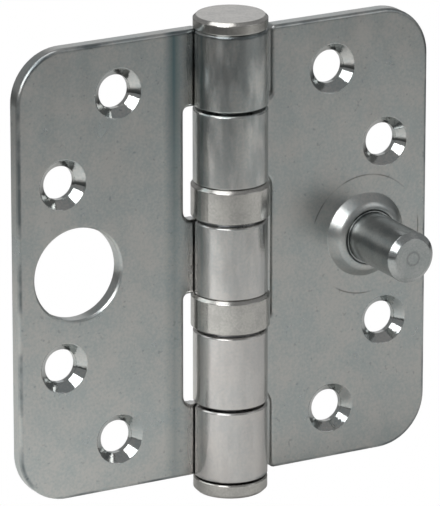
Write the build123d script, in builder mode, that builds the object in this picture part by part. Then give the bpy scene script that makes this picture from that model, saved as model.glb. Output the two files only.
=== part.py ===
from build123d import *
import math
import os

# A steel butt hinge with two ball thrust bearings, shown open flat, in millimetres.
# The pin stands on the Z axis with its middle at the origin, the frame leaf lies towards -X,
# the door leaf towards +X, and the countersunk faces look towards -Y.

# Leaves: pressed plates with rounded corners
leaf_height = 89.0
leaf_reach = 44.5  # pin axis to the free edge
leaf_thickness = 2.75
leaf_setback = 1.65  # pin axis back to the front face
corner_radius = 10.0
edge_roll = 0.7  # rounding that the punch leaves round the front face
door_leaf_drop = 1.6  # the door leaf's plate sits this much lower than the frame leaf's
frame_notch_reach = 9.1  # pin axis to the bottom of the knuckle notches
door_notch_reach = 9.9
notch_radius = 1.0
frame_tab_root = 2.0  # wider rounding at the top of the frame leaf's tabs
door_tab_root = 3.2  # wider rounding at the foot of the door leaf's tabs

# Knuckles: the leaves' inner edges, bent back and rolled round the pin
pin_radius = 4.35
pin_clearance = 0.08
bend_radius = 1.0  # inside radius of the bend that leads into the roll
seam_gap = 0.45  # rolled end to the leaf's front face
knuckle_height = 14.6
knuckle_edge = 0.3
axial_gap = 0.5  # between neighbouring knuckles of the two leaves
stack_drop = 0.4  # the middle knuckle sits this much below the frame leaf's middle

# Screw holes, countersunk from the front, four to a leaf
screw_hole_radius = 3.3
countersink_radius = 4.9
countersink_angle = 90.0
inner_hole_reach = 23.2
inner_hole_height = 34.3
outer_hole_reach = 35.0
outer_hole_height = 18.1

# Security stud on the door leaf and the hole that takes it in the frame leaf
stud_reach = 30.75
stud_radius = 5.0
stud_length = 18.1  # tip in front of the door leaf's front face
stud_tip_chamfer = 1.1
stud_head_radius = 6.6
stud_seat_radius = 5.25  # part that is pressed into the leaf
stud_seat_rise = 0.2  # seat in front of the boss
stud_neck_radius = 4.7
stud_neck_length = 0.5
stud_fit = 0.05
stud_hole_reach = 31.9
stud_hole_radius = 9.1
stud_hole_edge = 0.4
boss_radius = 6.4
boss_rise = 2.3
boss_edge = 1.6
boss_flank = 2.0  # how much wider the boss is at its foot
boss_mouth = 0.25  # bevel round the stud at the boss's top

# Pin and its pressed end caps
cap_radius = 7.15
top_cap_height = 2.55
bottom_cap_height = 2.8
cap_play = 0.35  # the pin hangs by its top cap, which leaves this gap above the bottom one
cap_outer_edge = 0.6
cap_inner_edge = 0.25
spigot_radius = 3.0
spigot_length = 2.0
spigot_fit = 0.02

# Ball thrust bearings: drawn cup, two races, cage and balls
cup_radius = 7.6
cup_wall = 0.5
cup_height = 6.8
cup_shoulder = 0.6
cup_rim = 0.3
bearing_height = 7.4
bearing_clearance = 0.2  # bearing bores to the pin
race_clearance = 0.3  # bottom race to the cup that turns round it
race_fit = 0.1  # top race to the cup that holds it
top_race_thickness = 2.1
lip_width = 0.6  # cup's lip, turned in under the bottom race
ball_count = 6
ball_radius = 0.75
ball_clearance = 0.03
groove_depth = 0.3
groove_slope = 30.0  # flank of the balls' groove, from the race's face
cage_thickness = 0.6
cage_clearance = 0.15
pocket_clearance = 0.04

# Sizes that follow from the ones above
knuckle_bore = pin_radius + pin_clearance
barrel_radius = knuckle_bore + leaf_thickness
leaf_back = leaf_setback + leaf_thickness
half_height = leaf_height / 2
pin_bottom = -half_height - cap_play
corner_match = notch_radius / 10  # how near to a place a corner is picked

# The stack of knuckles and bearings, as (bottom, top) heights from the middle out
middle_knuckle = (-knuckle_height / 2 - stack_drop, knuckle_height / 2 - stack_drop)
upper_bearing_top = middle_knuckle[1] + bearing_height
lower_bearing_top = middle_knuckle[0]
upper_door_knuckle = (upper_bearing_top, upper_bearing_top + knuckle_height)
lower_door_top = lower_bearing_top - bearing_height
lower_door_knuckle = (lower_door_top - knuckle_height, lower_door_top)
top_knuckle = (upper_door_knuckle[1] + axial_gap, half_height)
bottom_knuckle = (-half_height, lower_door_knuckle[0] - axial_gap)
frame_knuckles = [bottom_knuckle, middle_knuckle, top_knuckle]
door_knuckles = [lower_door_knuckle, upper_door_knuckle]
frame_tab_tops = [top for bottom, top in frame_knuckles]
door_tab_feet = [bottom for bottom, top in door_knuckles]

# The bend is an arc on the back of the leaf that meets the roll's circle from outside
bend_centre_y = leaf_back + bend_radius
bend_centre_x = math.sqrt((barrel_radius + bend_radius) ** 2 - bend_centre_y**2)
join_angle = math.degrees(math.atan2(bend_centre_y, bend_centre_x))
seam_angle = 360 + math.degrees(math.asin((leaf_setback - seam_gap) / barrel_radius))
roll_middle = (join_angle + seam_angle) / 2

front_plane = Plane.XZ.offset(-leaf_setback)
back_plane = Plane.XZ.offset(-leaf_back)
frame_side = -1
door_side = 1


def on_barrel(side, radius, angle):
    """Point round the pin, with the angle counted from the leaf's own side towards the back."""
    return (
        side * radius * math.cos(math.radians(angle)),
        radius * math.sin(math.radians(angle)),
    )


def on_bend(side, radius, share):
    """Point round the bend, from the leaf (share 0) to the roll (share 1)."""
    angle = math.radians(90 - share * (90 - join_angle))
    return (
        side * (bend_centre_x - radius * math.cos(angle)),
        bend_centre_y - radius * math.sin(angle),
    )


def rolled_knuckle(side, bottom, top):
    """One knuckle: the strip bends back behind the pin and rolls round it to the seam."""
    front_radius = bend_radius + leaf_thickness
    with BuildPart() as knuckle:
        with BuildSketch(Plane.XY.offset(bottom)):
            with BuildLine():
                Line(on_bend(side, front_radius, 0), on_bend(side, bend_radius, 0))
                ThreePointArc(
                    on_bend(side, bend_radius, 0),
                    on_bend(side, bend_radius, 0.5),
                    on_bend(side, bend_radius, 1),
                )
                ThreePointArc(
                    on_barrel(side, barrel_radius, join_angle),
                    on_barrel(side, barrel_radius, roll_middle),
                    on_barrel(side, barrel_radius, seam_angle),
                )
                Line(
                    on_barrel(side, barrel_radius, seam_angle),
                    on_barrel(side, knuckle_bore, seam_angle),
                )
                ThreePointArc(
                    on_barrel(side, knuckle_bore, seam_angle),
                    on_barrel(side, knuckle_bore, roll_middle),
                    on_barrel(side, knuckle_bore, join_angle),
                )
                ThreePointArc(
                    on_bend(side, front_radius, 1),
                    on_bend(side, front_radius, 0.5),
                    on_bend(side, front_radius, 0),
                )
            make_face()
        extrude(amount=top - bottom)
        rims = knuckle.edges().filter_by(GeomType.CIRCLE)
        chamfer([rim for rim in rims if abs(rim.radius - barrel_radius) < knuckle_edge], knuckle_edge)
    return knuckle.part


def corners_at(sketch, reach, levels):
    """Corners of a sketch that far from the pin axis, at any of those heights."""
    return [
        corner
        for corner in sketch.vertices()
        if abs(abs(corner.X) - reach) < corner_match
        and any(abs(corner.Y - level) < corner_match for level in levels)
    ]


def leaf_plate(side, drop, notch_reach, knuckles, tab_roots, root_radius):
    """Flat of a leaf with its tabs, its rounded corners and the rolled edge of the punching."""
    ends = [half_height - drop, -half_height - drop]
    tab_levels = [level for knuckle in knuckles for level in knuckle]
    plain_levels = [level for level in ends + tab_levels if level not in tab_roots]
    with BuildPart() as plate:
        with BuildSketch(front_plane) as outline:
            with Locations((side * (leaf_reach + notch_reach) / 2, -drop)):
                Rectangle(leaf_reach - notch_reach, leaf_height)
            for bottom, top in knuckles:
                with Locations((side * (notch_reach + bend_centre_x) / 2, (bottom + top) / 2)):
                    Rectangle(notch_reach - bend_centre_x, top - bottom)
            fillet(corners_at(outline, leaf_reach, ends), corner_radius)
            fillet(corners_at(outline, notch_reach, plain_levels), notch_radius)
            fillet(corners_at(outline, notch_reach, tab_roots), root_radius)
        extrude(amount=-leaf_thickness)
        front = plate.faces().sort_by(Axis.Y)[0]
        tab_end = side * bend_centre_x
        fillet(
            [edge for edge in front.edges() if abs(edge.center().X - tab_end) > edge_roll / 2],
            edge_roll,
        )
    return plate.part


def screw_hole_places(side, drop):
    """Places of a leaf's four screw holes on its front face."""
    places = []
    for reach, height in [
        (inner_hole_reach, inner_hole_height),
        (outer_hole_reach, outer_hole_height),
    ]:
        for level in (height, -height):
            places.append((side * reach, level - drop))
    return places


# Frame leaf, with three knuckles and the hole that takes the stud when the hinge is shut
frame_plate = leaf_plate(
    frame_side, 0, frame_notch_reach, frame_knuckles, frame_tab_tops, frame_tab_root
)
frame_rolls = [rolled_knuckle(frame_side, bottom, top) for bottom, top in frame_knuckles]

with BuildPart() as frame_leaf:
    add(frame_plate)
    add(frame_rolls)
    with Locations(front_plane):
        with Locations(*screw_hole_places(frame_side, 0)):
            CounterSinkHole(screw_hole_radius, countersink_radius, leaf_thickness, countersink_angle)
        with Locations((frame_side * stud_hole_reach, 0)):
            CounterSinkHole(
                stud_hole_radius, stud_hole_radius + stud_hole_edge, leaf_thickness, countersink_angle
            )

# Door leaf, with two knuckles and a boss drawn forward round the stud
door_plate = leaf_plate(
    door_side, door_leaf_drop, door_notch_reach, door_knuckles, door_tab_feet, door_tab_root
)
door_rolls = [rolled_knuckle(door_side, bottom, top) for bottom, top in door_knuckles]
stud_x = door_side * stud_reach
stud_centre = (stud_x, -door_leaf_drop)
stud_axis = Axis((stud_x, 0, -door_leaf_drop), (0, 1, 0))
stud_hole = stud_seat_radius + stud_fit

with BuildPart() as door_leaf:
    add(door_plate)
    add(door_rolls)
    with BuildSketch(Plane.XY.offset(-door_leaf_drop)) as boss:
        with BuildLine():
            Polyline(
                (stud_x, leaf_back),
                (stud_x + boss_radius + boss_flank, leaf_back),
                (stud_x + boss_radius + boss_flank, leaf_setback),
                (stud_x + boss_radius, leaf_setback - boss_rise),
                (stud_x, leaf_setback - boss_rise),
                close=True,
            )
        make_face()
        fillet(boss.vertices().group_by(Axis.Y)[0].sort_by(Axis.X)[-1], boss_edge)
    revolve(axis=stud_axis)
    with Locations(front_plane):
        with Locations(*screw_hole_places(door_side, door_leaf_drop)):
            CounterSinkHole(screw_hole_radius, countersink_radius, leaf_thickness, countersink_angle)
    with Locations(front_plane.offset(boss_rise)):
        with Locations(stud_centre):
            CounterSinkHole(
                stud_hole, stud_hole + boss_mouth, leaf_thickness + boss_rise, countersink_angle
            )
    with BuildSketch(back_plane):
        with Locations(stud_centre):
            Circle(stud_head_radius + stud_fit)
    extrude(amount=boss_rise, mode=Mode.SUBTRACT)

# Security stud, pressed in from behind with its head flush with the leaf's back
head_front = leaf_back - boss_rise + stud_fit
seat_front = leaf_setback - boss_rise - stud_seat_rise
stud_tip = leaf_setback - stud_length

with BuildPart() as security_stud:
    with BuildSketch(Plane.XY.offset(-door_leaf_drop)):
        with BuildLine():
            Polyline(
                (stud_x, leaf_back),
                (stud_x + stud_head_radius, leaf_back),
                (stud_x + stud_head_radius, head_front),
                (stud_x + stud_seat_radius, head_front),
                (stud_x + stud_seat_radius, seat_front),
                (stud_x + stud_neck_radius, seat_front),
                (stud_x + stud_neck_radius, seat_front - stud_neck_length),
                (stud_x + stud_radius, seat_front - stud_neck_length),
                (stud_x + stud_radius, stud_tip + stud_tip_chamfer),
                (stud_x + stud_radius - stud_tip_chamfer, stud_tip),
                (stud_x, stud_tip),
                close=True,
            )
        make_face()
    revolve(axis=stud_axis)

# Hinge pin, plain through the barrel with a spigot at each end for its cap
with BuildPart() as hinge_pin:
    with BuildSketch(Plane.XY.offset(pin_bottom)):
        Circle(pin_radius)
    extrude(amount=half_height - pin_bottom)
    with BuildSketch(Plane.XY.offset(pin_bottom - spigot_length)):
        Circle(spigot_radius)
    extrude(amount=half_height - pin_bottom + 2 * spigot_length)


def end_cap(seat_level, direction, height):
    """Turned cap with a blind bore for the pin's spigot, facing up (1) or down (-1)."""
    seat = Plane((0, 0, seat_level), x_dir=(1, 0, 0), z_dir=(0, 0, direction))
    with BuildPart() as cap:
        with BuildSketch(seat):
            Circle(cap_radius)
        extrude(amount=height)
        inner_rim, outer_rim = cap.edges().filter_by(GeomType.CIRCLE).sort_by(Axis(seat.origin, seat.z_dir))
        chamfer(outer_rim, cap_outer_edge)
        chamfer(inner_rim, cap_inner_edge)
        with BuildSketch(seat):
            Circle(spigot_radius + spigot_fit)
        extrude(amount=spigot_length + spigot_fit, mode=Mode.SUBTRACT)
    return cap.part


top_cap = end_cap(half_height, 1, top_cap_height)
bottom_cap = end_cap(pin_bottom, -1, bottom_cap_height)

# Bearing sizes: the balls run between the races on a circle midway across the cup
bearing_bore = pin_radius + bearing_clearance
cup_inside = cup_radius - cup_wall
pitch_radius = (bearing_bore + cup_inside) / 2
groove_half_width = groove_depth / math.tan(math.radians(groove_slope))
ball_rest = (ball_radius + ball_clearance) / math.cos(math.radians(groove_slope))
race_gap = 2 * (ball_rest - groove_depth)
top_race_face = cup_wall + top_race_thickness
bottom_race_face = top_race_face + race_gap
ball_level = (top_race_face + bottom_race_face) / 2
lip_top = cup_height - cup_wall
bottom_race_radius = cup_inside - race_clearance
bottom_race_step = lip_top - race_clearance
lip_radius = cup_inside - lip_width
bottom_race_neck = lip_radius - race_clearance


def bearing_cup(top):
    """Drawn cup that hangs under the upper knuckle, its lip turned in below the bottom race."""
    with BuildPart() as cup:
        with BuildSketch(Plane.XZ) as section:
            with BuildLine():
                Polyline(
                    (bearing_bore, top),
                    (cup_radius, top),
                    (cup_radius, top - cup_height),
                    (lip_radius, top - cup_height),
                    (lip_radius, top - lip_top),
                    (cup_inside, top - lip_top),
                    (cup_inside, top - cup_wall),
                    (bearing_bore, top - cup_wall),
                    close=True,
                )
            make_face()
            outer_corners = section.vertices().group_by(Axis.X)[-1].sort_by(Axis.Y)
            chamfer(outer_corners[-1], cup_shoulder)
            rim_corner = section.vertices().group_by(Axis.Y)[0].sort_by(Axis.X)[-1]
            chamfer(rim_corner, cup_rim)
        revolve(axis=Axis.Z)
    return cup.part


def top_race(top):
    """Hardened washer inside the cup, with the balls' groove in its lower face."""
    with BuildPart() as race:
        with BuildSketch(Plane.XZ):
            with BuildLine():
                Polyline(
                    (bearing_bore, top - cup_wall),
                    (cup_inside - race_fit, top - cup_wall),
                    (cup_inside - race_fit, top - top_race_face),
                    (pitch_radius + groove_half_width, top - top_race_face),
                    (pitch_radius, top - top_race_face + groove_depth),
                    (pitch_radius - groove_half_width, top - top_race_face),
                    (bearing_bore, top - top_race_face),
                    close=True,
                )
            make_face()
        revolve(axis=Axis.Z)
    return race.part


def bottom_race(top):
    """Stepped washer that stands on the lower knuckle and reaches up into the cup."""
    with BuildPart() as race:
        with BuildSketch(Plane.XZ):
            with BuildLine():
                Polyline(
                    (bearing_bore, top - bottom_race_face),
                    (pitch_radius - groove_half_width, top - bottom_race_face),
                    (pitch_radius, top - bottom_race_face - groove_depth),
                    (pitch_radius + groove_half_width, top - bottom_race_face),
                    (bottom_race_radius, top - bottom_race_face),
                    (bottom_race_radius, top - bottom_race_step),
                    (bottom_race_neck, top - bottom_race_step),
                    (bottom_race_neck, top - bearing_height),
                    (bearing_bore, top - bearing_height),
                    close=True,
                )
            make_face()
        revolve(axis=Axis.Z)
    return race.part


def ball_cage(top):
    """Thin ring that keeps the balls apart, with a pocket for each."""
    with BuildPart() as cage:
        with BuildSketch(Plane.XY.offset(top - ball_level - cage_thickness / 2)):
            Circle(cup_inside - cage_clearance)
            Circle(bearing_bore + cage_clearance, mode=Mode.SUBTRACT)
            with PolarLocations(pitch_radius, ball_count):
                Circle(ball_radius + pocket_clearance, mode=Mode.SUBTRACT)
        extrude(amount=cage_thickness)
    return cage.part


def bearing_balls(top):
    """The balls, each a solid of its own, evenly spaced round the pin."""
    balls = []
    for place in PolarLocations(pitch_radius, ball_count):
        with BuildPart() as ball:
            with Locations((place.position.X, place.position.Y, top - ball_level)):
                Sphere(ball_radius)
        balls.append(ball.part)
    return balls


pieces = {
    "frame_leaf": frame_leaf.part,
    "door_leaf": door_leaf.part,
    "security_stud": security_stud.part,
    "hinge_pin": hinge_pin.part,
    "top_cap": top_cap,
    "bottom_cap": bottom_cap,
}
for bearing, top in [("upper_bearing", upper_bearing_top), ("lower_bearing", lower_bearing_top)]:
    pieces[f"{bearing}_cup"] = bearing_cup(top)
    pieces[f"{bearing}_top_race"] = top_race(top)
    pieces[f"{bearing}_bottom_race"] = bottom_race(top)
    pieces[f"{bearing}_cage"] = ball_cage(top)
    for number, ball in enumerate(bearing_balls(top), start=1):
        pieces[f"{bearing}_ball_{number}"] = ball

os.makedirs("parts", exist_ok=True)
for name, piece in pieces.items():
    piece.label = name
    export_step(piece, f"parts/{name}.step")
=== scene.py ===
import math

import bpy
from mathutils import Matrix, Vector


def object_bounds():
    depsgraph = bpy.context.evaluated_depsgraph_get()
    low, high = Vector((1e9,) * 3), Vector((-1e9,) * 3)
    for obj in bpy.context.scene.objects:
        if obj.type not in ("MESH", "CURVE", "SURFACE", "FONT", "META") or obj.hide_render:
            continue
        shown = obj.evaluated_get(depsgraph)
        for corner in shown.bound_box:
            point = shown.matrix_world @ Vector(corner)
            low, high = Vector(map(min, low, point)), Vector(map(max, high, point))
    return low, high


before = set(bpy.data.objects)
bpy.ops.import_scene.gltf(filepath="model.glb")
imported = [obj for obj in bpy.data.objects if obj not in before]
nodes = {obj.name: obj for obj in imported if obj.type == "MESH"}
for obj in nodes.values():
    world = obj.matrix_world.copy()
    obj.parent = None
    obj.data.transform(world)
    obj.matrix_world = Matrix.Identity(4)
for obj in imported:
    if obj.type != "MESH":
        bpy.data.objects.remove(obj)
cad_low, cad_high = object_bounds()

# Frame leaf: mild steel plate, pressed, countersunk and rolled into three knuckles, then zinc plated.
# Satin flats with warm and cool patches and a few pits, a painted dark reflection at the rolled edges,
# and painted shade and reflection of the barrel at the bend.
# The knuckles are glossier, rubbed in upright streaks that painted shade darkens higher up, with a
# painted warm, bright reflection low down; the countersinks mirror bright.
inner_hole = (0.0232, 0.0, 0.0343)
outer_hole = (0.0350, 0.0, 0.0181)
countersink_radius = 0.0049
countersink_edge = (countersink_radius, countersink_radius * 1.03)
countersink_roughness = 0.07
corner_middle = (0.0345, 0.0, 0.0345)
corner_radius = 0.010
edge_roll = 0.0007
barrel_radius = 0.00718
roll_end = (barrel_radius * 1.05, barrel_radius * 1.25)
crease_reach = 0.0114
# Painted shade and reflection of the barrel on the front of the plate beside the crease.
barrel_shade_fade = (crease_reach, 0.0138)
barrel_shade_start = (0.0094, crease_reach)
barrel_shade_start_share = 0.15
barrel_shade_levels = (0.0, 0.035)
barrel_shade_strength = (0.4, 1.0)
leaf_front = 0.00165
leaf_back = 0.0044
face_margin = 0.0004
mask_fade = 0.0002
noise_range = (0.3, 0.7)
zinc_cool = "#a9afaf"
zinc_warm = "#bcbbb8"
# Dull zinc for pits and streaks, also the colour of painted shade and the painted dark edge reflection.
zinc_dull_and_shade = "#6a7072"
# Colour of the painted shade and reflection of the barrel beside the crease.
zinc_barrel_shade = "#5e7376"
# Colour, share and heights of the painted warm reflection on the lower knuckles.
zinc_low_reflection = "#d7cecc"
low_reflection_share = 0.35
low_reflection_levels = (-0.012, 0.03)
satin_roughness = (0.27, 0.33)
barrel_roughness = (0.17, 0.27)
streak_mm = 0.9
streak_range = (0.35, 0.65)
streak_squeeze = (1.0, 1.0, 0.15)
rub_mm = 3.0
rub_range = (0.42, 0.6)
rub_squeeze = (1.0, 1.0, 0.3)
# Heights and shares of the painted shade that darkens the streaks on the upper knuckles.
top_shade_levels = (-0.01, 0.035)
top_shade_strength = (0.12, 0.55)
rub_on_flats = 0.15
# Width, strength and breaks of the painted dark reflection along the rolled front edges.
edge_reflection_span = (0.0001, edge_roll * 0.7)
edge_reflection_strength = 0.9
edge_reflection_least = 0.1
edge_break_mm = 9.0
edge_break_range = (0.42, 0.58)
pit_mm = 1.1
pit_range = (0.7, 0.78)
pit_strength = 0.4
flat_dullness = 0.12
# Share of painted barrel shade on the frame leaf.
frame_barrel_shade = 1.0


def linear(hex_colour):
    """Linear colour of an sRGB hex code."""
    parts = [int(hex_colour[i : i + 2], 16) / 255 for i in (1, 3, 5)]
    curved = [p / 12.92 if p <= 0.04045 else ((p + 0.055) / 1.055) ** 2.4 for p in parts]
    return (*curved, 1.0)


def add_node(tree, kind, inputs=(), **settings):
    """New shader node with its settings, its inputs set to values or linked to other nodes."""
    # A mix node's sockets go by number: in, 0 is the share, 2 and 3 are numbers, 6 and 7 are colours.
    # Out, 0 is the mixed number and 2 the mixed colour.
    node = tree.nodes.new("ShaderNode" + kind)
    for name, value in settings.items():
        setattr(node, name, value)
    pairs = inputs.items() if isinstance(inputs, dict) else enumerate(inputs)
    for key, value in pairs:
        if isinstance(value, bpy.types.Node):
            value = next(socket for socket in value.outputs if socket.enabled)
        if isinstance(value, bpy.types.NodeSocket):
            tree.links.new(value, node.inputs[key])
        else:
            node.inputs[key].default_value = value
    return node


def metal(name, dark, light, roughness, mottle_mm, grain_mm, grain_depth_mm, edge_mm):
    """Metal whose colour and roughness drift in soft patches over a fine grain, with eased edges."""
    material = bpy.data.materials.new(name)
    material.use_nodes = True
    tree = material.node_tree
    tree.nodes.clear()
    place = add_node(tree, "TexCoord").outputs["Object"]
    mottle = add_node(tree, "TexNoise", {"Vector": place, "Scale": 1000 / mottle_mm, "Detail": 5.0})
    # The real grain is under a tenth of a millimetre, and is drawn coarser so that it shows.
    grain = add_node(tree, "TexNoise", {"Vector": place, "Scale": 1000 / grain_mm, "Detail": 3.0})
    mottling = add_node(tree, "MapRange", (mottle, *noise_range, 0.0, 1.0))
    speckle = add_node(tree, "MapRange", (grain, *noise_range, -0.5, 0.5))
    patches = add_node(tree, "Math", (mottling, speckle), operation="ADD")
    colour = add_node(tree, "Mix", {0: patches, 6: linear(dark), 7: linear(light)}, data_type="RGBA")
    gloss = add_node(tree, "MapRange", (mottle, *noise_range, *roughness))
    eased = add_node(tree, "Bevel", {"Radius": edge_mm / 1000}, samples=6)
    relief = {"Height": grain, "Distance": grain_depth_mm / 1000, "Normal": eased}
    bumped = add_node(tree, "Bump", relief)
    look = {"Base Color": colour, "Metallic": 1.0, "Roughness": gloss, "Normal": bumped}
    shader = add_node(tree, "BsdfPrincipled", look)
    add_node(tree, "OutputMaterial", {"Surface": shader})
    return material, shader, place


def in_front_of(tree, place, depth):
    """Mask that is one ahead of that depth behind the pin and nought a little behind it."""
    along = add_node(tree, "SeparateXYZ", (place,)).outputs["Y"]
    return add_node(tree, "MapRange", (along, depth, depth + mask_fade, 1.0, 0.0))


def zinc_leaf(name, drop, painted_barrel_shade):
    """Leaf finish: satin on the flats, glossier round the barrel, bright in the countersinks, with
    painted shade and painted reflections.
    """
    material, shader, place = metal(
        name,
        zinc_cool,
        zinc_warm,
        roughness=satin_roughness,
        mottle_mm=7.0,
        grain_mm=0.5,
        grain_depth_mm=0.012,
        edge_mm=0.3,
    )
    tree = material.node_tree
    plated = shader.inputs["Base Color"].links[0].from_socket
    satin = shader.inputs["Roughness"].links[0].from_socket

    # Satin on the flats, and glossier upright streaks within reach of the barrel.
    level = add_node(tree, "VectorMath", (place, (1.0, 1.0, 0.0)), operation="MULTIPLY")
    reach = add_node(tree, "VectorMath", (level,), operation="LENGTH")
    flat = add_node(tree, "MapRange", (reach, *roll_end, 0.0, 1.0))
    drawn_out = add_node(tree, "VectorMath", (place, streak_squeeze), operation="MULTIPLY")
    streaks = add_node(tree, "TexNoise", {"Vector": drawn_out, "Scale": 1000 / streak_mm, "Detail": 3.0})
    streaked = add_node(tree, "MapRange", (streaks, *streak_range, *barrel_roughness))
    rolled = add_node(tree, "Mix", {0: flat, 2: streaked, 3: satin})

    # Upright rub marks, made darker on the upper knuckles by painted shade.
    height = add_node(tree, "SeparateXYZ", (place,)).outputs["Z"]
    top_shade = add_node(tree, "MapRange", (height, *top_shade_levels, *top_shade_strength))
    less_on_flats = add_node(tree, "MapRange", (flat, 0.0, 1.0, 1.0, rub_on_flats))
    upright = add_node(tree, "VectorMath", (place, rub_squeeze), operation="MULTIPLY")
    rubs = add_node(tree, "TexNoise", {"Vector": upright, "Scale": 1000 / rub_mm, "Detail": 8.0})
    rubbed = add_node(tree, "MapRange", (rubs, *rub_range, 0.0, 1.0))
    streak_and_shade_share = add_node(tree, "Math", (top_shade, less_on_flats), operation="MULTIPLY")
    streaks_and_top_shade = add_node(tree, "Math", (rubbed, streak_and_shade_share), operation="MULTIPLY")

    # Painted shade and reflection of the barrel where the front of the plate turns to the barrel,
    # strongest at the top.
    outside_crease = add_node(tree, "MapRange", (reach, *barrel_shade_fade, painted_barrel_shade, 0.0))
    inside_crease = add_node(tree, "MapRange", (reach, *barrel_shade_start, barrel_shade_start_share, 1.0))
    at_height = add_node(tree, "MapRange", (height, *barrel_shade_levels, *barrel_shade_strength))
    near_crease = add_node(tree, "Math", (outside_crease, inside_crease), operation="MULTIPLY")
    barrel_shade_mask = add_node(tree, "Math", (near_crease, at_height), operation="MULTIPLY")
    front_side = in_front_of(tree, place, leaf_front + edge_roll)
    front_flat = add_node(tree, "Math", (front_side, flat), operation="MULTIPLY")
    barrel_shade_on_front = add_node(tree, "Math", (barrel_shade_mask, front_flat), operation="MULTIPLY")
    barrel_shaded = add_node(tree, "Mix", {0: barrel_shade_on_front, 6: plated, 7: linear(zinc_barrel_shade)}, data_type="RGBA")

    # Painted warm, bright reflection on the lower knuckles.
    low_reflection_fade = add_node(tree, "MapRange", (height, *low_reflection_levels, low_reflection_share, 0.0))
    barrel_only = add_node(tree, "MapRange", (flat, 0.0, 1.0, 1.0, 0.0))
    reflection_share = add_node(tree, "Math", (low_reflection_fade, barrel_only), operation="MULTIPLY")
    reflected_low = add_node(tree, "Mix", {0: reflection_share, 6: barrel_shaded, 7: linear(zinc_low_reflection)}, data_type="RGBA")

    # Painted broken dark reflection where the front edges roll over, all four corners folded into one.
    centred = add_node(tree, "VectorMath", (place, (0.0, 0.0, drop)), operation="ADD")
    folded = add_node(tree, "VectorMath", (centred,), operation="ABSOLUTE")
    on_face = add_node(tree, "VectorMath", (folded, (1.0, 0.0, 1.0)), operation="MULTIPLY")
    past_middle = add_node(tree, "VectorMath", (on_face, corner_middle), operation="SUBTRACT")
    in_corner = add_node(tree, "VectorMath", (past_middle, (0.0, 0.0, 0.0)), operation="MAXIMUM")
    from_middle = add_node(tree, "VectorMath", (in_corner,), operation="LENGTH")
    past_roll = add_node(tree, "Math", (from_middle, corner_radius - edge_roll / 2), operation="SUBTRACT")
    from_roll = add_node(tree, "Math", (past_roll,), operation="ABSOLUTE")
    roll_reflection = add_node(tree, "MapRange", (from_roll, *edge_reflection_span, edge_reflection_strength, 0.0))
    breaks = add_node(tree, "TexNoise", {"Vector": place, "Scale": 1000 / edge_break_mm, "Detail": 6.0})
    line_breaks = add_node(tree, "MapRange", (breaks, *edge_break_range, edge_reflection_least, 1.0))
    broken_edge_reflection = add_node(tree, "Math", (roll_reflection, line_breaks), operation="MULTIPLY")
    edge_dark_reflection = add_node(tree, "Math", (broken_edge_reflection, front_side), operation="MULTIPLY")

    # Flats a little duller than the barrel, with small pits.
    specks = add_node(tree, "TexNoise", {"Vector": place, "Scale": 1000 / pit_mm, "Detail": 1.0})
    pitted = add_node(tree, "MapRange", (specks, *pit_range, flat_dullness, pit_strength))
    pits = add_node(tree, "Math", (pitted, flat), operation="MULTIPLY")

    # Streaks, painted shade, the painted edge reflection and pits all darken towards the dull zinc.
    lined = add_node(tree, "Math", (streaks_and_top_shade, edge_dark_reflection), operation="ADD")
    marked = add_node(tree, "Math", (lined, pits), operation="ADD")
    colour = add_node(tree, "Mix", {0: marked, 6: reflected_low, 7: linear(zinc_dull_and_shade)}, data_type="RGBA")
    tree.links.new(colour.outputs[2], shader.inputs["Base Color"])

    # Mirror-bright countersinks, which the plain back does not have.
    from_inner = add_node(tree, "VectorMath", (on_face, inner_hole), operation="DISTANCE")
    from_outer = add_node(tree, "VectorMath", (on_face, outer_hole), operation="DISTANCE")
    nearest = add_node(tree, "Math", (from_inner, from_outer), operation="MINIMUM")
    inside = add_node(tree, "MapRange", (nearest, *countersink_edge, 1.0, 0.0))
    ahead_of_back = in_front_of(tree, place, leaf_back - face_margin)
    bright = add_node(tree, "Math", (inside, ahead_of_back), operation="MULTIPLY")
    gloss = add_node(tree, "Mix", {0: bright, 2: rolled, 3: countersink_roughness})
    tree.links.new(gloss.outputs[0], shader.inputs["Roughness"])
    return material, shader, place


def finish_nodes(material, names):
    """Gives each named CAD piece that material alone."""
    for name in names:
        nodes[name].data.materials.clear()
        nodes[name].data.materials.append(material)


frame_finish = zinc_leaf("zinc_plated_frame_leaf", 0.0, frame_barrel_shade)[0]
finish_nodes(frame_finish, ["frame_leaf"])

# Door leaf: the same zinc-plated steel with two knuckles, and a boss drawn forward round the stud.
# It hangs a little lower than the frame leaf, and has no painted shade beside the barrel.
# The drawing press left a faint broken ring on its front face, round the boss.
door_leaf_drop = 0.0016
stud_middle = (0.03075, 0.0, -door_leaf_drop)
press_ring_radius = 0.0119
press_ring_width = 0.00022
ring_break_mm = 8.0
ring_break_range = (0.5, 0.6)
ring_strength = 0.7
ring_colour = "#4a4844"
door_finish, door_shader, door_place = zinc_leaf("zinc_plated_door_leaf", door_leaf_drop, 0.0)
door_tree = door_finish.node_tree
plain_zinc = door_shader.inputs["Base Color"].links[0].from_socket
on_door_face = add_node(door_tree, "VectorMath", (door_place, (1.0, 0.0, 1.0)), operation="MULTIPLY")
from_stud = add_node(door_tree, "VectorMath", (on_door_face, stud_middle), operation="DISTANCE")
past_ring = add_node(door_tree, "Math", (from_stud, press_ring_radius), operation="SUBTRACT")
from_ring = add_node(door_tree, "Math", (past_ring,), operation="ABSOLUTE")
ring = add_node(door_tree, "MapRange", (from_ring, 0.0, press_ring_width, 1.0, 0.0))
ring_noise = {"Vector": door_place, "Scale": 1000 / ring_break_mm, "Detail": 1.0}
ring_patches = add_node(door_tree, "TexNoise", ring_noise)
ring_breaks = add_node(door_tree, "MapRange", (ring_patches, *ring_break_range, 0.0, ring_strength))
broken_ring = add_node(door_tree, "Math", (ring, ring_breaks), operation="MULTIPLY")
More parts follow.
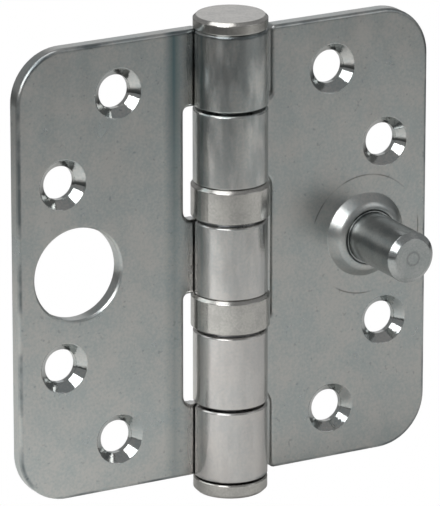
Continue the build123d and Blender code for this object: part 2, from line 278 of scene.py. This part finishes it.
on_front = in_front_of(door_tree, door_place, leaf_front + face_margin)
worn_ring = add_node(door_tree, "Math", (broken_ring, on_front), operation="MULTIPLY")
ring_mix = {0: worn_ring, 6: plain_zinc, 7: linear(ring_colour)}
ringed_zinc = add_node(door_tree, "Mix", ring_mix, data_type="RGBA")
door_tree.links.new(ringed_zinc.outputs[2], door_shader.inputs["Base Color"])
finish_nodes(door_finish, ["door_leaf"])

# Security stud: turned steel, pressed into the boss from behind, under a thinner coat of zinc.
# It is darker and glossier than the leaves, and its end keeps the lathe centre's faint ring.
centre_mark_radius = 0.0013
centre_mark_width = 0.00035
centre_mark_strength = 0.45
centre_mark_colour = "#5c5f60"
stud_finish, stud_shader, stud_place = metal(
    "thin_zinc_on_turned_steel",
    "#979c9c",
    "#abadac",
    roughness=(0.16, 0.26),
    mottle_mm=3.0,
    grain_mm=0.4,
    grain_depth_mm=0.006,
    edge_mm=0.25,
)
stud_tree = stud_finish.node_tree
thin_zinc = stud_shader.inputs["Base Color"].links[0].from_socket
on_stud_end = add_node(stud_tree, "VectorMath", (stud_place, (1.0, 0.0, 1.0)), operation="MULTIPLY")
from_centre = add_node(stud_tree, "VectorMath", (on_stud_end, stud_middle), operation="DISTANCE")
past_mark = add_node(stud_tree, "Math", (from_centre, centre_mark_radius), operation="SUBTRACT")
from_mark = add_node(stud_tree, "Math", (past_mark,), operation="ABSOLUTE")
mark_fade = (0.0, centre_mark_width, centre_mark_strength, 0.0)
both_marks = add_node(stud_tree, "MapRange", (from_mark, *mark_fade))
ahead_of_pin = in_front_of(stud_tree, stud_place, 0.0)
mark = add_node(stud_tree, "Math", (both_marks, ahead_of_pin), operation="MULTIPLY")
mark_mix = {0: mark, 6: thin_zinc, 7: linear(centre_mark_colour)}
marked_zinc = add_node(stud_tree, "Mix", mark_mix, data_type="RGBA")
stud_tree.links.new(marked_zinc.outputs[2], stud_shader.inputs["Base Color"])
finish_nodes(stud_finish, ["security_stud"])

# Hinge pin and races: hardened steel, ground round and flat, under a film of oil.
# Seen only in the gaps of the barrel, darker than the plate and of an even gloss.
bearings = ("upper_bearing", "lower_bearing")
races = [f"{bearing}_{race}" for bearing in bearings for race in ("top_race", "bottom_race")]
ground_steel = metal(
    "ground_steel",
    "#7d7f81",
    "#8d8f91",
    roughness=(0.22, 0.3),
    mottle_mm=4.0,
    grain_mm=0.2,
    grain_depth_mm=0.001,
    edge_mm=0.1,
)[0]
finish_nodes(ground_steel, ["hinge_pin", *races])

# Balls and cages: lapped bearing balls in cages stamped from brass strip, sealed inside the cups.
# Mirror bright steel beside warm, duller brass.
polished_steel = metal(
    "polished_steel",
    "#c9cacb",
    "#d6d7d8",
    roughness=(0.05, 0.09),
    mottle_mm=3.0,
    grain_mm=0.2,
    grain_depth_mm=0.0005,
    edge_mm=0.02,
)[0]
finish_nodes(polished_steel, [name for name in nodes if "_ball_" in name])
stamped_brass = metal(
    "stamped_brass",
    "#b08a44",
    "#c29c55",
    roughness=(0.25, 0.35),
    mottle_mm=3.0,
    grain_mm=0.2,
    grain_depth_mm=0.002,
    edge_mm=0.05,
)[0]
finish_nodes(stamped_brass, [f"{bearing}_cage" for bearing in bearings])

# Bearing cups and caps: cups drawn from sheet over each bearing, caps turned and pressed on the pin.
# Zinc plated like the leaves but smoother, so their highlights are sharper and brighter.
bright_zinc = metal(
    "bright_zinc_turned",
    "#a8a7a4",
    "#bbb9b5",
    roughness=(0.14, 0.22),
    mottle_mm=3.0,
    grain_mm=0.4,
    grain_depth_mm=0.006,
    edge_mm=0.25,
)[0]
finish_nodes(bright_zinc, ["upper_bearing_cup", "lower_bearing_cup", "top_cap", "bottom_cap"])

# Floor: a plain sweep of pale card just under the hinge, white to the camera like the photo's ground.
# All other rays see the card as the lamps light it, with the hinge's shadow, and the metal mirrors it.
floor_gap = 0.0005
bpy.ops.mesh.primitive_plane_add(size=6.0, location=(0, 0, cad_low.z - floor_gap))
floor = bpy.context.object
floor.name = "floor"
card = bpy.data.materials.new("pale_card")
card.use_nodes = True
card_tree = card.node_tree
card_tree.nodes.clear()
seen = add_node(card_tree, "LightPath").outputs["Is Camera Ray"]
card_diffuse = add_node(card_tree, "BsdfDiffuse", {"Color": linear("#d8d8d6")})
card_white = add_node(card_tree, "Emission", {"Color": linear("#ffffff"), "Strength": 1.0})
card_mix = add_node(card_tree, "MixShader", (seen, card_diffuse, card_white))
add_node(card_tree, "OutputMaterial", {"Surface": card_mix})
floor.data.materials.append(card)

# World: a dim grey room that lights the card a little, white to the camera.
# Mirrored rays see a share of that white, so the metal shows the pale ground too.
mirrored_white = 0.28
world = bpy.data.worlds.new("studio_room")
bpy.context.scene.world = world
world.use_nodes = True
world_tree = world.node_tree
world_tree.nodes.clear()
rays = add_node(world_tree, "LightPath").outputs
bounced_rays = (rays["Is Glossy Ray"], rays["Is Transmission Ray"])
bounced = add_node(world_tree, "Math", bounced_rays, operation="MAXIMUM")
mirrored = add_node(world_tree, "Math", (bounced, mirrored_white), operation="MULTIPLY")
whitened = add_node(world_tree, "Math", (rays["Is Camera Ray"], mirrored), operation="MAXIMUM")
room_grey = add_node(world_tree, "Background", {"Color": linear("#555657"), "Strength": 1.0})
room_white = add_node(world_tree, "Background", {"Color": linear("#ffffff"), "Strength": 1.0})
room_mix = add_node(world_tree, "MixShader", (whitened, room_grey, room_white))
add_node(world_tree, "OutputWorld", {"Surface": room_mix})

# Lights: soft boxes that the metal mirrors, at the front left, overhead, front right and behind.
# Lamps at the left, right and rear stay out of the reflections and only light the card.


def soft_box(name, place, size, strength, mirrored=True):
    """Square area light at that place, turned to the middle of the hinge."""
    lamp = bpy.data.lights.new(name, "AREA")
    lamp.size = size
    lamp.energy = strength
    holder = bpy.data.objects.new(name, lamp)
    bpy.context.scene.collection.objects.link(holder)
    holder.location = place
    holder.rotation_euler = (-Vector(place)).to_track_quat("-Z", "Y").to_euler()
    holder.visible_glossy = mirrored


soft_box("key_box", (-0.13, -0.10, 0.12), 0.12, 0.25)
soft_box("top_box", (-0.06, 0.0, 0.20), 0.12, 0.10)
soft_box("right_box", (0.25, -0.25, 0.19), 0.22, 0.12)
soft_box("back_box", (0.30, 0.54, 0.22), 0.36, 0.17)
soft_box("left_lamp", (-0.20, 0.03, 0.11), 0.14, 0.46, mirrored=False)
soft_box("right_lamp", (0.22, -0.28, 0.12), 0.16, 0.36, mirrored=False)
soft_box("side_lamp", (0.30, -0.07, 0.09), 0.10, 0.24, mirrored=False)
soft_box("rear_lamp", (-0.06, 0.30, 0.12), 0.16, 0.22, mirrored=False)

# Camera: a long lens from the front left and a little above, as the photo was taken.
# Its place and focal length were fitted to the leaf corners and the barrel.
focal_pixels = 5842
frame_height_pixels = 506
camera_azimuth = -29.18
camera_elevation = 17.81
camera_distance = 1.1132
camera_target = Vector((-0.00173, 0.00096, -0.00022))
lens = bpy.data.cameras.new("camera")
lens.sensor_width = 36.0
lens.lens = focal_pixels / frame_height_pixels * lens.sensor_width
camera = bpy.data.objects.new("camera", lens)
bpy.context.scene.collection.objects.link(camera)
azimuth = math.radians(camera_azimuth)
elevation = math.radians(camera_elevation)
towards = Vector(
    (
        math.sin(azimuth) * math.cos(elevation),
        -math.cos(azimuth) * math.cos(elevation),
        math.sin(elevation),
    )
)
camera.location = camera_target + towards * camera_distance
camera.rotation_mode = "QUATERNION"
camera.rotation_quaternion = (-towards).to_track_quat("-Z", "Y")
bpy.context.scene.camera = camera
bpy.context.scene.view_settings.view_transform = "Standard"
